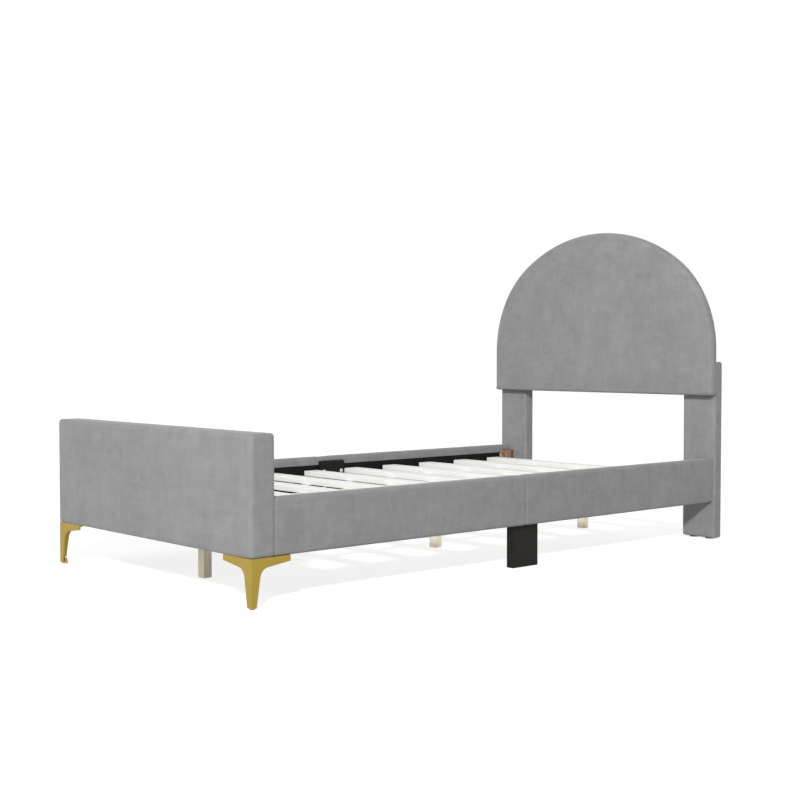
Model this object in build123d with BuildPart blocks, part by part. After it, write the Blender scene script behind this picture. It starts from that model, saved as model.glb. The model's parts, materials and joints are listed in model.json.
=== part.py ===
from build123d import *
import os
from math import atan2, degrees

# Twin-size upholstered platform bed, in millimetres.
# The origin is on the floor under the middle of the bed. +X is the right-hand side seen from the foot,
# +Y points to the headboard and +Z is up. The footboard's front face is at the low end of Y.

# The whole bed
bed_length = 2107.0
bed_width = 1074.0
underside = 137.5
overrun = 10.0
fastener_clearance = 0.1

# Footboard: velvet, lapped under the bottom, over foam over two thin sheets on a frame of battens
footboard_thickness = 78.6
footboard_height = 332.0
footboard_edge_radius = 12.0
footboard_velvet = 1.5
footboard_lap = 25.0
footboard_padding = 8.0
footboard_sheet = 5.0
footboard_batten = 46.0
footboard_stile = 74.0

# Side rails: boards wrapped in velvet that laps onto the inner face, with a black lining between the laps
rail_thickness = 45.0
rail_height = 157.0
rail_edge_radius = 9.0
rail_end_radius = 4.0
rail_wrap = 3.0
rail_top_lap = 27.5
rail_bottom_lap = 12.0
lining_thickness = 2.0
lining_end_gap = 17.0

# Black middle legs, one under each side, let into the ends of both half rails; they rise above the slats
mid_leg_width = 114.0
mid_leg_slat_gap = 13.5
mid_leg_foot_overlap = 30.4
mid_leg_thickness = 29.0
mid_leg_rise = 30.5
mid_leg_edge_radius = 1.5
let_in_depth = 15.0
let_in_clearance = 0.5

# Corner blocks that bolt the rails to the footboard and to the posts; they rise above the slats too
corner_block_length = 46.0
corner_block_depth = 40.0
corner_block_height = 90.0
corner_block_rise = 25.0
corner_block_bevel = 1.5

# Slatted base: ledges, slats spaced evenly and no closer than their spacing, ribbons, and the beam on its legs
slat_spacing = 188.0
slat_end_gap = 13.0
slat_width = 63.0
slat_thickness = 18.5
slat_drop = 44.5
slat_edge_radius = 3.0
first_slat_gap = 116.1
last_slat_gap = 90.1
ledge_depth = 25.0
ledge_height = 22.0
ledge_gap = 2.0
ribbon_width = 40.0
ribbon_thickness = 1.2
ribbon_spacing = 434.0
ribbon_inset = 2.0
beam_width = 33.0
beam_height = 45.0
beam_overhang = 4.7
beam_edge_radius = 1.5
centre_leg_depth = 29.0
centre_leg_inset = 2.5
middle_centre_leg_gap = 9.0

# Posts behind the headboard
post_overhang = 4.1
post_width = 137.7
post_depth = 43.0
post_height = 647.7
post_edge_radius = 10.0
post_wrap = 3.0
post_glide_radius = 15.0
post_glide_height = 4.5
post_glide_spacing = 70.0

# Headboard: an arched board in foam and velvet, lapped onto its back round a sheet of black cloth
# It overlaps the tops of the posts. Above its straight sides the arch rises by a share of half the width,
# and the radius of its shoulders is a share of that rise.
headboard_overhang = 8.3
headboard_thickness = 32.0
headboard_overlap = 123.2
headboard_side_height = 160.5
rise_share = 0.8537
shoulder_share = 0.911
headboard_corner_radius = 18.0
headboard_front_radius = 16.0
headboard_velvet = 1.5
headboard_padding = 12.5
headboard_board_thickness = 15.0
headboard_back_lap = 40.0

# Gold corner legs: two arched wings under a mounting plate
gold_wing_length = 132.0
gold_wing_tip_height = 16.0
gold_waist_width = 34.0
gold_waist_drop = 29.7
gold_foot_width = 18.5
gold_arch_radius = 30.0
gold_wall = 4.5
gold_corner_radius = 2.0
gold_plate_thickness = 3.0
gold_plate_front_width = 60.0
gold_plate_side_width = 40.0
gold_foot_lift = 4.5
gold_foot_plate = 5.0
gold_boss_radius = 5.5
gold_boss_height = 14.0

# Levelling glides in the gold legs: a plastic pad on a threaded stud
glide_pad_radius = 7.5
glide_pad_bevel = 0.8
glide_gap = 0.3
glide_stud_radius = 3.0
glide_stud_clearance = 0.05
glide_stud_top = 24.0

# Fasteners
bolt_radius = 4.0
mid_bolt_head_radius = 7.5
mid_bolt_head_height = 4.0
mid_bolt_head_round = 1.5
mid_bolt_side_margin = 16.0
mid_bolt_top_margin = 38.5
mid_bolt_drop = 60.0
mid_bolt_bite = 16.0
corner_bolt_head_radius = 6.5
corner_bolt_head_height = 5.0
corner_bolt_sink = 8.0
corner_bolt_side_margin = 17.0
corner_bolt_end_margin = 17.0
corner_bolt_bite = 34.0
headboard_bolt_head_radius = 7.5
headboard_bolt_head_height = 4.0
headboard_bolt_sink = 6.0
headboard_bolt_rise = 31.0
headboard_bolt_spacing = 60.0
headboard_bolt_bite = 11.0
screw_radius = 2.0
screw_head_radius = 4.0
screw_head_height = 2.4
screw_bite = 25.0
screw_spacing_across = 60.0
screw_spacing_along = 22.0
screw_place_across = 80.0
screw_place_along = 40.0
hanger_bolt_bite = 30.0

# Places along the bed
foot_face = -bed_length / 2
head_face = bed_length / 2
footboard_back = foot_face + footboard_thickness
post_front = head_face - post_depth
headboard_front = post_front - headboard_thickness
first_slat = footboard_back + first_slat_gap
last_slat = post_front - last_slat_gap - slat_width
slat_count = int((last_slat - first_slat) / slat_spacing) + 1
slat_pitch = (last_slat - first_slat) / (slat_count - 1)
middle_gap = first_slat + (slat_count // 2 - 1) * slat_pitch + slat_width
mid_leg_start = middle_gap + mid_leg_slat_gap
mid_leg_end = mid_leg_start + mid_leg_width
seam = mid_leg_start + mid_leg_foot_overlap
beam_start = first_slat - beam_overhang
beam_end = last_slat + slat_width + beam_overhang

# Places across the bed, as distances from its middle
half_width = bed_width / 2
rail_inner = half_width - rail_thickness
board_inner = rail_inner + rail_wrap
board_outer = half_width - rail_wrap
let_in_floor = board_inner + let_in_depth
lining_face = board_inner - lining_thickness
slat_half = lining_face - slat_end_gap
corner_bolt_place = let_in_floor - corner_bolt_side_margin
post_outer = half_width + post_overhang
post_inner = post_outer - post_width
post_middle = (post_inner + post_outer) / 2

# Heights
rail_top = underside + rail_height
footboard_top = underside + footboard_height
lap_bottom = rail_top - rail_top_lap
lining_bottom = underside + rail_bottom_lap
slat_top = rail_top - slat_drop
slat_bottom = slat_top - slat_thickness
mid_leg_top = slat_top + mid_leg_rise
corner_block_top = slat_top + corner_block_rise
beam_bottom = slat_bottom - beam_height
corner_block_bottom = corner_block_top - corner_block_height
corner_bolt_levels = (corner_block_bottom + corner_bolt_end_margin, corner_block_top - corner_bolt_end_margin)
mid_bolt_levels = (mid_leg_top - mid_bolt_top_margin - mid_bolt_drop, mid_leg_top - mid_bolt_top_margin)
post_foot = post_glide_height
post_top = post_foot + post_height
headboard_bottom = post_top - headboard_overlap
headboard_bolt_levels = (
    headboard_bottom + headboard_bolt_rise,
    headboard_bottom + headboard_bolt_rise + headboard_bolt_spacing,
)

sides = {"left": -1, "right": 1}
halves = {"foot": (footboard_back, seam), "head": (seam, post_front)}

os.makedirs("parts", exist_ok=True)


def save(piece, name):
    """Give the finished piece its name and write it to its own file."""
    piece.part.label = name
    export_step(piece.part, f"parts/{name}.step")


def across(side, inner, outer):
    """Span along X between two distances from the middle of the bed, on one side of it."""
    return (side * inner, side * outer)


def block(x_span, y_span, z_span, mode=Mode.ADD):
    """Box between the two values of each span, in the piece being made."""
    spans = (x_span, y_span, z_span)
    with Locations(tuple(sum(span) / 2 for span in spans)):
        Box(*(max(span) - min(span) for span in spans), mode=mode)


def rod(start, direction, radius, length, mode=Mode.ADD):
    """Round bar from its start point along a direction, in the piece being made."""
    with Locations(Plane(origin=start, z_dir=direction)):
        Cylinder(radius, length, align=(Align.CENTER, Align.CENTER, Align.MIN), mode=mode)


def cut_corner_bolt_holes(radius):
    """Holes for all the corner bolts, out of the blocks into the footboard and into the posts."""
    for side in sides.values():
        for level in corner_bolt_levels:
            for face, direction in ((footboard_back, -1), (post_front, 1)):
                start = (side * corner_bolt_place, face - direction * corner_block_length, level)
                length = corner_block_length + corner_bolt_bite
                rod(start, (0, direction, 0), radius, length, Mode.SUBTRACT)


def cut_headboard_bolt_holes(radius, start, length):
    """Holes for the bolts that hold the headboard, from a place along the bed towards its foot."""
    for side in sides.values():
        for level in headboard_bolt_levels:
            rod((side * post_middle, start, level), (0, -1, 0), radius, length, Mode.SUBTRACT)


def leg_screw_places(side):
    """Middles of the four screws of one gold leg, as pairs of X and Y."""
    return [
        (
            side * (half_width - screw_place_across + shift_across * screw_spacing_across / 2),
            foot_face + screw_place_along + shift_along * screw_spacing_along / 2,
        )
        for shift_across in (-1, 1)
        for shift_along in (-1, 1)
    ]


def make_padded_block(x_span, y_span, z_span, radius):
    """Box with a square bottom and with its upright and top edges rounded, as upholstery has."""
    with BuildPart() as padded:
        block(x_span, y_span, z_span)
        fillet(padded.edges() - padded.edges().group_by(Axis.Z)[0], radius)
    return padded


# Footboard
def make_footboard_shell(inset):
    """The padded outline of the footboard, drawn in by an inset all round."""
    return make_padded_block(
        (-half_width + inset, half_width - inset),
        (foot_face + inset, footboard_back - inset),
        (underside + inset, footboard_top - inset),
        footboard_edge_radius - inset,
    )


core_inset = footboard_velvet + footboard_padding
core_half = half_width - core_inset
core_front = foot_face + core_inset
core_back = footboard_back - core_inset
core_levels = (underside + footboard_velvet, footboard_top - core_inset)
footboard_outside = make_footboard_shell(0)
footboard_lining = make_footboard_shell(footboard_velvet)

with BuildPart() as footboard_cover:
    add(footboard_outside.part)
    add(footboard_lining.part, mode=Mode.SUBTRACT)
    block(
        (-half_width + footboard_lap, half_width - footboard_lap),
        (foot_face + footboard_lap, footboard_back - footboard_lap),
        (underside - overrun, underside + footboard_velvet),
        Mode.SUBTRACT,
    )
    cut_corner_bolt_holes(bolt_radius + fastener_clearance)
save(footboard_cover, "footboard_cover")

with BuildPart() as footboard_foam:
    add(footboard_lining.part)
    block((-core_half, core_half), (core_front, core_back), core_levels, Mode.SUBTRACT)
    cut_corner_bolt_holes(bolt_radius + fastener_clearance)
save(footboard_foam, "footboard_foam")

with BuildPart() as footboard_front_panel:
    block((-core_half, core_half), (core_front, core_front + footboard_sheet), core_levels)
save(footboard_front_panel, "footboard_front_panel")

with BuildPart() as footboard_back_panel:
    block((-core_half, core_half), (core_back - footboard_sheet, core_back), core_levels)
    cut_corner_bolt_holes(bolt_radius + fastener_clearance)
save(footboard_back_panel, "footboard_back_panel")

with BuildPart() as footboard_frame:
    frame_span = (core_front + footboard_sheet, core_back - footboard_sheet)
    window_levels = (min(core_levels) + footboard_batten, max(core_levels) - footboard_batten)
    block((-core_half, core_half), frame_span, core_levels)
    for side in sides.values():
        window = across(side, footboard_stile / 2, core_half - footboard_stile)
        block(window, frame_span, window_levels, Mode.SUBTRACT)
        for x, y in leg_screw_places(side):
            rod((x, y, underside), (0, 0, 1), screw_radius + fastener_clearance, screw_bite, Mode.SUBTRACT)
    cut_corner_bolt_holes(bolt_radius + fastener_clearance)
save(footboard_frame, "footboard_frame")


# Side rails
def cut_let_ins(side):
    """Pockets in the inner face of a rail for the middle leg and for both corner blocks."""
    pocket = across(side, rail_inner - overrun, let_in_floor)
    block(
        pocket,
        (mid_leg_start - let_in_clearance, mid_leg_end + let_in_clearance),
        (underside - overrun, mid_leg_top + let_in_clearance),
        Mode.SUBTRACT,
    )
    block_levels = (corner_block_bottom - let_in_clearance, corner_block_top + let_in_clearance)
    pocket_length = corner_block_length + let_in_clearance
    block(pocket, (footboard_back - overrun, footboard_back + pocket_length), block_levels, Mode.SUBTRACT)
    block(pocket, (post_front - pocket_length, post_front + overrun), block_levels, Mode.SUBTRACT)


def make_rail_core(side, start, end):
    """A half rail's board before its pockets are cut."""
    with BuildPart() as core:
        block(across(side, board_inner, board_outer), (start, end), (underside + rail_wrap, rail_top - rail_wrap))
        fillet(core.edges().filter_by(Axis.Y), rail_edge_radius - rail_wrap)
    return core


def make_rail_cover(side, start, end, core):
    """Velvet round a half rail, open only along the inner face."""
    with BuildPart() as cover:
        block(across(side, rail_inner, half_width), (start, end), (underside, rail_top))
        fillet(cover.edges().filter_by(Axis.Y), rail_edge_radius)
        for end_face in (0, -1):
            fillet(cover.faces().sort_by(Axis.Y)[end_face].edges(), rail_end_radius)
        add(core.part, mode=Mode.SUBTRACT)
        inner_face = across(side, rail_inner - overrun, board_inner)
        block(inner_face, (start - overrun, end + overrun), (lining_bottom, lap_bottom), Mode.SUBTRACT)
        cut_let_ins(side)
    return cover


def make_rail_board(side, core):
    """A half rail's board with its pockets and the holes for the middle leg's bolts."""
    with BuildPart() as board:
        add(core.part)
        cut_let_ins(side)
        for place in mid_bolt_places:
            for level in mid_bolt_levels:
                start = (side * let_in_floor, place, level)
                rod(start, (side, 0, 0), bolt_radius + fastener_clearance, mid_bolt_bite, Mode.SUBTRACT)
    return board


mid_bolt_places = (mid_leg_start + mid_bolt_side_margin, mid_leg_end - mid_bolt_side_margin)
lined_lengths = {
    "foot": (footboard_back + corner_block_length + lining_end_gap, mid_leg_start - let_in_clearance),
    "head": (mid_leg_end + let_in_clearance, post_front - corner_block_length - lining_end_gap),
}
ledge_lengths = {
    "foot": (footboard_back + corner_block_length + ledge_gap, mid_leg_start - ledge_gap),
    "head": (mid_leg_end + ledge_gap, post_front - corner_block_length - ledge_gap),
}

for side_name, side in sides.items():
    for half, (start, end) in halves.items():
        rail_core = make_rail_core(side, start + rail_wrap, end - rail_wrap)
        rail_cover = make_rail_cover(side, start, end, rail_core)
        save(rail_cover, f"{side_name}_{half}_rail_cover")
        rail_board = make_rail_board(side, rail_core)
        save(rail_board, f"{side_name}_{half}_rail_board")
        with BuildPart() as rail_lining:
            block(across(side, lining_face, board_inner), lined_lengths[half], (lining_bottom, lap_bottom))
        save(rail_lining, f"{side_name}_{half}_rail_lining")
        with BuildPart() as slat_ledge:
            ledge_span = across(side, lining_face - ledge_depth, lining_face)
            block(ledge_span, ledge_lengths[half], (slat_bottom - ledge_height, slat_bottom))
        save(slat_ledge, f"{side_name}_{half}_slat_ledge")

# Middle legs
for side_name, side in sides.items():
    with BuildPart() as mid_leg:
        leg_span = across(side, let_in_floor - mid_leg_thickness, let_in_floor)
        block(leg_span, (mid_leg_start, mid_leg_end), (0, mid_leg_top))
        fillet(mid_leg.faces().sort_by(Axis.X)[0 if side > 0 else -1].edges(), mid_leg_edge_radius)
        for place in mid_bolt_places:
            for level in mid_bolt_levels:
                start = (side * let_in_floor, place, level)
                rod(start, (-side, 0, 0), bolt_radius + fastener_clearance, mid_leg_thickness, Mode.SUBTRACT)
    save(mid_leg, f"{side_name}_mid_leg")

with BuildPart() as mid_leg_bolts:
    for side in sides.values():
        for place in mid_bolt_places:
            for level in mid_bolt_levels:
                start = (side * (let_in_floor - mid_leg_thickness), place, level)
                rod(start, (side, 0, 0), bolt_radius, mid_leg_thickness + mid_bolt_bite)
                rod(start, (-side, 0, 0), mid_bolt_head_radius, mid_bolt_head_height)
    head_faces = mid_leg_bolts.faces().filter_by(Axis.X).group_by(lambda face: abs(face.center().X))[0]
    fillet(head_faces.edges(), mid_bolt_head_round)
save(mid_leg_bolts, "mid_leg_bolts")

# Corner blocks
corner_places = {
    "foot": (footboard_back, footboard_back + corner_block_length),
    "head": (post_front - corner_block_length, post_front),
}
for side_name, side in sides.items():
    for end_name, length_span in corner_places.items():
        direction = -1 if end_name == "foot" else 1
        open_face = max(length_span) if end_name == "foot" else min(length_span)
        with BuildPart() as corner_block:
            block_span = across(side, let_in_floor - corner_block_depth, let_in_floor)
            block(block_span, length_span, (corner_block_bottom, corner_block_top))
            chamfer(corner_block.faces().sort_by(Axis.X)[0 if side > 0 else -1].edges(), corner_block_bevel)
            for level in corner_bolt_levels:
                start = (side * corner_bolt_place, open_face, level)
                with Locations(Plane(origin=start, z_dir=(0, -direction, 0))):
                    CounterBoreHole(
                        bolt_radius + fastener_clearance,
                        corner_bolt_head_radius + fastener_clearance,
                        corner_bolt_sink,
                        corner_block_length,
                    )
        save(corner_block, f"{side_name}_{end_name}_corner_block")

with BuildPart() as corner_bolts:
    for side in sides.values():
        for level in corner_bolt_levels:
            for face, direction in ((footboard_back, -1), (post_front, 1)):
                seat = face - direction * (corner_block_length - corner_bolt_sink)
                start = (side * corner_bolt_place, seat, level)
                shank = corner_block_length - corner_bolt_sink + corner_bolt_bite
                rod(start, (0, direction, 0), bolt_radius, shank)
                rod(start, (0, -direction, 0), corner_bolt_head_radius, corner_bolt_head_height)
save(corner_bolts, "corner_bolts")

# Slatted base
for number in range(slat_count):
    slat_start = first_slat + number * slat_pitch
    with BuildPart() as slat:
        block((-slat_half, slat_half), (slat_start, slat_start + slat_width), (slat_bottom, slat_top))
        fillet(slat.edges().filter_by(Axis.X), slat_edge_radius)
    save(slat, f"slat_{number + 1:02d}")

with BuildPart() as slat_ribbons:
    ribbon_ends = (first_slat + ribbon_inset, last_slat + slat_width - ribbon_inset)
    for side in sides.values():
        ribbon_span = across(side, (ribbon_spacing - ribbon_width) / 2, (ribbon_spacing + ribbon_width) / 2)
        block(ribbon_span, ribbon_ends, (slat_bottom - ribbon_thickness, slat_bottom))
save(slat_ribbons, "slat_ribbons")

centre_leg_starts = {
    "foot": beam_start + centre_leg_inset,
    "middle": mid_leg_end + middle_centre_leg_gap,
    "head": beam_end - centre_leg_inset - centre_leg_depth,
}
with BuildPart() as centre_beam:
    block((-beam_width / 2, beam_width / 2), (beam_start, beam_end), (beam_bottom, slat_bottom))
    fillet(centre_beam.edges().filter_by(Axis.Y), beam_edge_radius)
    for start in centre_leg_starts.values():
        place = (0, start + centre_leg_depth / 2, beam_bottom)
        rod(place, (0, 0, 1), bolt_radius + fastener_clearance, hanger_bolt_bite, Mode.SUBTRACT)
save(centre_beam, "centre_beam")

for leg_name, start in centre_leg_starts.items():
    with BuildPart() as centre_leg:
        block((-beam_width / 2, beam_width / 2), (start, start + centre_leg_depth), (0, beam_bottom))
        fillet(centre_leg.edges().filter_by(Axis.Z), beam_edge_radius)
        place = (0, start + centre_leg_depth / 2, beam_bottom)
        rod(place, (0, 0, -1), bolt_radius + fastener_clearance, hanger_bolt_bite, Mode.SUBTRACT)
    save(centre_leg, f"{leg_name}_centre_leg")

with BuildPart() as centre_leg_bolts:
    for start in centre_leg_starts.values():
        place = (0, start + centre_leg_depth / 2, beam_bottom - hanger_bolt_bite)
        rod(place, (0, 0, 1), bolt_radius, 2 * hanger_bolt_bite)
save(centre_leg_bolts, "centre_leg_bolts")


# Posts
def make_post_shell(side, inset):
    """The padded outline of a post, drawn in by an inset all round but at the bottom."""
    return make_padded_block(
        across(side, post_inner + inset, post_outer - inset),
        (post_front + inset, head_face - inset),
        (post_foot, post_top - inset),
        post_edge_radius - inset,
    )


for side_name, side in sides.items():
    post_outside = make_post_shell(side, 0)
    post_inside = make_post_shell(side, post_wrap)
    with BuildPart() as post_cover:
        add(post_outside.part)
        add(post_inside.part, mode=Mode.SUBTRACT)
        cut_corner_bolt_holes(bolt_radius + fastener_clearance)
        cut_headboard_bolt_holes(bolt_radius + fastener_clearance, head_face - post_depth / 2, post_depth)
        cut_headboard_bolt_holes(headboard_bolt_head_radius + fastener_clearance, head_face, headboard_bolt_sink)
    save(post_cover, f"{side_name}_post_cover")
    with BuildPart() as post_core:
        add(post_inside.part)
        cut_corner_bolt_holes(bolt_radius + fastener_clearance)
        cut_headboard_bolt_holes(bolt_radius + fastener_clearance, head_face, post_depth)
        cut_headboard_bolt_holes(headboard_bolt_head_radius + fastener_clearance, head_face, headboard_bolt_sink)
    save(post_core, f"{side_name}_post_core")

with BuildPart() as post_glides:
    for side in sides.values():
        for shift in (-1, 1):
            place = side * post_middle + shift * post_glide_spacing / 2
            rod((place, post_front + post_depth / 2, 0), (0, 0, 1), post_glide_radius, post_glide_height)
save(post_glides, "post_glides")


# Headboard
def make_arched_panel(inset, back, front, front_radius):
    """Arch of three arcs from a back place to a front place, drawn in by an inset, its front edge rounded."""
    half = half_width + headboard_overhang
    rise = rise_share * half
    spring = headboard_bottom + headboard_side_height
    shoulder_radius = shoulder_share * rise
    crown_radius = (half**2 - 2 * half * shoulder_radius + rise**2) / (2 * (rise - shoulder_radius))
    shoulder_place = half - shoulder_radius
    turn = degrees(atan2(crown_radius - rise, shoulder_place))
    low = headboard_bottom + inset
    edge = half - inset
    with BuildPart() as panel:
        with BuildSketch(Plane(origin=(0, back, 0), x_dir=(1, 0, 0), z_dir=(0, -1, 0))) as outline:
            with BuildLine():
                CenterArc((shoulder_place, spring), shoulder_radius - inset, 0, turn)
                CenterArc((0, spring + rise - crown_radius), crown_radius - inset, turn, 180 - 2 * turn)
                CenterArc((-shoulder_place, spring), shoulder_radius - inset, 180 - turn, turn)
                Polyline((-edge, spring), (-edge, low), (edge, low), (edge, spring))
            make_face()
            if inset < headboard_corner_radius:
                fillet(outline.vertices().group_by(Axis.Y)[0], headboard_corner_radius - inset)
        extrude(amount=back - front)
        if front_radius > 0:
            fillet(panel.faces().sort_by(Axis.Y)[0].edges(), front_radius)
    return panel


board_back = post_front - headboard_velvet
board_inset = headboard_velvet + headboard_padding
headboard_outside = make_arched_panel(0, post_front, headboard_front, headboard_front_radius)
headboard_inside = make_arched_panel(
    headboard_velvet,
    board_back,
    headboard_front + headboard_velvet,
    headboard_front_radius - headboard_velvet,
)
board_outline = make_arched_panel(board_inset, board_back, board_back - headboard_board_thickness, 0)
cloth_outline = make_arched_panel(headboard_back_lap, post_front, board_back, 0)

with BuildPart() as headboard_cover:
    add(headboard_outside.part)
    add(headboard_inside.part, mode=Mode.SUBTRACT)
    add(cloth_outline.part, mode=Mode.SUBTRACT)
    cut_headboard_bolt_holes(bolt_radius + fastener_clearance, post_front, headboard_velvet)
save(headboard_cover, "headboard_cover")

with BuildPart() as headboard_foam:
    add(headboard_inside.part)
    add(board_outline.part, mode=Mode.SUBTRACT)
save(headboard_foam, "headboard_foam")

with BuildPart() as headboard_board:
    add(board_outline.part)
    cut_headboard_bolt_holes(bolt_radius + fastener_clearance, board_back, headboard_bolt_bite)
save(headboard_board, "headboard_board")

with BuildPart() as headboard_back_cloth:
    add(cloth_outline.part)
    cut_headboard_bolt_holes(bolt_radius + fastener_clearance, post_front, headboard_velvet)
save(headboard_back_cloth, "headboard_back_cloth")

with BuildPart() as headboard_bolts:
    for side in sides.values():
        for level in headboard_bolt_levels:
            seat = (side * post_middle, head_face - headboard_bolt_sink, level)
            shank = post_depth - headboard_bolt_sink + headboard_velvet + headboard_bolt_bite
            rod(seat, (0, -1, 0), bolt_radius, shank)
            rod(seat, (0, 1, 0), headboard_bolt_head_radius, headboard_bolt_head_height)
save(headboard_bolts, "headboard_bolts")


# Gold corner legs and their glides
def draw_wing(corner_plane, thickness):
    """One arched wing of a gold leg, drawn inwards from the corner and extruded, in the piece being made."""
    waist_height = underside - gold_waist_drop
    with BuildSketch(corner_plane) as wing:
        with BuildLine():
            Polyline(
                (0, gold_foot_lift),
                (gold_foot_width, gold_foot_lift),
                (gold_waist_width, waist_height),
                (gold_wing_length, underside - gold_wing_tip_height),
                (gold_wing_length, underside),
                (0, underside),
                close=True,
            )
        make_face()
        fillet(wing.vertices().sort_by_distance((gold_waist_width, waist_height, 0))[0], gold_arch_radius)
    extrude(wing.sketch, amount=thickness)


glide_inset = gold_foot_width - gold_boss_radius
for side_name, side in sides.items():
    corner = (side * half_width, foot_face, 0)
    glide_place = (side * (half_width - glide_inset), foot_face + glide_inset)
    with BuildPart() as gold_leg:
        draw_wing(Plane(origin=corner, x_dir=(-side, 0, 0), z_dir=(0, side, 0)), side * gold_wall)
        draw_wing(Plane(origin=corner, x_dir=(0, 1, 0), z_dir=(1, 0, 0)), -side * gold_wall)
        plate_levels = (underside - gold_plate_thickness, underside)
        foot_levels = (gold_foot_lift, gold_foot_lift + gold_foot_plate)
        for width, length, levels in (
            (gold_wing_length, gold_plate_front_width, plate_levels),
            (gold_plate_side_width, gold_wing_length, plate_levels),
            (gold_foot_width, gold_foot_width, foot_levels),
        ):
            block(across(side, half_width - width, half_width), (foot_face, foot_face + length), levels)
        fillet(gold_leg.edges().filter_by(Axis.Z).sort_by_distance(corner)[0], gold_corner_radius)
        rod((*glide_place, gold_foot_lift), (0, 0, 1), gold_boss_radius, gold_boss_height)
        bore = glide_stud_radius + glide_stud_clearance
        rod((*glide_place, gold_foot_lift), (0, 0, 1), bore, gold_boss_height, Mode.SUBTRACT)
        for x, y in leg_screw_places(side):
            start = (x, y, underside - gold_plate_thickness)
            rod(start, (0, 0, 1), screw_radius + fastener_clearance, gold_plate_thickness, Mode.SUBTRACT)
    save(gold_leg, f"{side_name}_gold_leg")
    with BuildPart() as leg_glide:
        rod((*glide_place, 0), (0, 0, 1), glide_pad_radius, gold_foot_lift - glide_gap)
        chamfer(leg_glide.faces().sort_by(Axis.Z)[0].edges(), glide_pad_bevel)
        rod((*glide_place, 0), (0, 0, 1), glide_stud_radius, glide_stud_top)
    save(leg_glide, f"{side_name}_leg_glide")

with BuildPart() as gold_leg_screws:
    for side in sides.values():
        for x, y in leg_screw_places(side):
            seat = (x, y, underside - gold_plate_thickness)
            rod(seat, (0, 0, 1), screw_radius, gold_plate_thickness + screw_bite)
            rod(seat, (0, 0, -1), screw_head_radius, screw_head_height)
save(gold_leg_screws, "gold_leg_screws")
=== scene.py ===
import bmesh
import bpy
import json
import math
from mathutils import Euler, Matrix, Vector, noise


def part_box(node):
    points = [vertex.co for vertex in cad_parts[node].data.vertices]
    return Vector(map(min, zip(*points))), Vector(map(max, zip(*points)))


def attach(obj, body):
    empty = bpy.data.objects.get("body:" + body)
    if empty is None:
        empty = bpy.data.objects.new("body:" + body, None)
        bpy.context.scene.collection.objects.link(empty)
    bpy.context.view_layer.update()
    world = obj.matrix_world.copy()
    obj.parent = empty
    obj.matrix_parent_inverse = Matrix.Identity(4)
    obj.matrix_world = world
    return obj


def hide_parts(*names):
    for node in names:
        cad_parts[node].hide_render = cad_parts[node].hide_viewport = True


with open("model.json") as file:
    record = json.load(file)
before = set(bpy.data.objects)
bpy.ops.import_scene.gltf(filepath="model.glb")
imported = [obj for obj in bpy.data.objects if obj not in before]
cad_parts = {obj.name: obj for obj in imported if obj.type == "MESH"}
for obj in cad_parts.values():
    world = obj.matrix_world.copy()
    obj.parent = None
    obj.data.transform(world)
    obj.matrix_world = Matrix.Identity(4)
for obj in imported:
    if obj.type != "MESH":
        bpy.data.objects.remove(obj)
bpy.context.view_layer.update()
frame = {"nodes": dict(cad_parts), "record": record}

# Sizes in metres, read from the frame wherever a CAD piece gives them. The velvet over foam is thinner than
# the velvet and wadding round the rails and posts, and a pad that isn't simulated is cut into quick cells.
MM = 0.001
VELVET_THICKNESS = 1.4 * MM
WRAP_THICKNESS = 2.8 * MM
SIDES = {"left": -1, "right": 1}
HALVES = ("foot", "head")
SLATS = [f"slat_{number:02d}" for number in range(1, 11)]
footboard_low, footboard_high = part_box("footboard_cover")
rail_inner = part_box("right_head_rail_cover")[0].x
lining_low, lining_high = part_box("right_head_rail_lining")
mid_leg_low, mid_leg_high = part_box("right_mid_leg")
block_low, block_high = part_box("right_head_corner_block")
foot_block_low, foot_block_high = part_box("right_foot_corner_block")
post_low, post_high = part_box("right_post_cover")
panel_low, panel_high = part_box("headboard_cover")


# Shader maths
class Value:
    """A number from a shader socket that Python's own operators work on."""

    def __init__(self, nodes, socket):
        self.nodes = nodes
        self.socket = socket

    def combine(self, operation, first, second):
        return self.nodes.node("ShaderNodeMath", {"operation": operation}, {0: first, 1: second})

    def __add__(self, other):
        return self.combine("ADD", self, other)

    def __radd__(self, other):
        return self.combine("ADD", other, self)

    def __mul__(self, other):
        return self.combine("MULTIPLY", self, other)

    def __rmul__(self, other):
        return self.combine("MULTIPLY", other, self)

    def larger(self, other):
        return self.combine("MAXIMUM", self, other)


class Nodes:
    """The shader nodes of a material or a world, added one call at a time."""

    def __init__(self, owner):
        owner.use_nodes = True
        self.tree = owner.node_tree

    def node(self, kind, settings=None, sockets=None, output=0):
        """Adds a node, makes its settings, then fills or links its sockets, and gives one output."""
        made = self.tree.nodes.new(kind)
        for name, setting in (settings or {}).items():
            if name == "stops":
                ramp = made.color_ramp
                for stop, (place, tone) in enumerate(setting):
                    element = ramp.elements[stop] if stop < 2 else ramp.elements.new(place)
                    element.position = place
                    element.color = (tone, tone, tone, 1)
            else:
                setattr(made, name, setting)
        for name, value in (sockets or {}).items():
            if isinstance(value, Value):
                self.tree.links.new(value.socket, made.inputs[name])
            else:
                made.inputs[name].default_value = value
        return Value(self, made.outputs[output]) if made.outputs else made

    def seen(self, through=False):
        """One where the camera or a reflection sees a surface, none where it only lights something."""
        camera = self.node("ShaderNodeLightPath", output="Is Camera Ray")
        gloss = self.node("ShaderNodeLightPath", output="Is Glossy Ray")
        found = camera.larger(gloss)
        if through:
            found = found.larger(self.node("ShaderNodeLightPath", output="Is Transmission Ray"))
        return found


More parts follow.
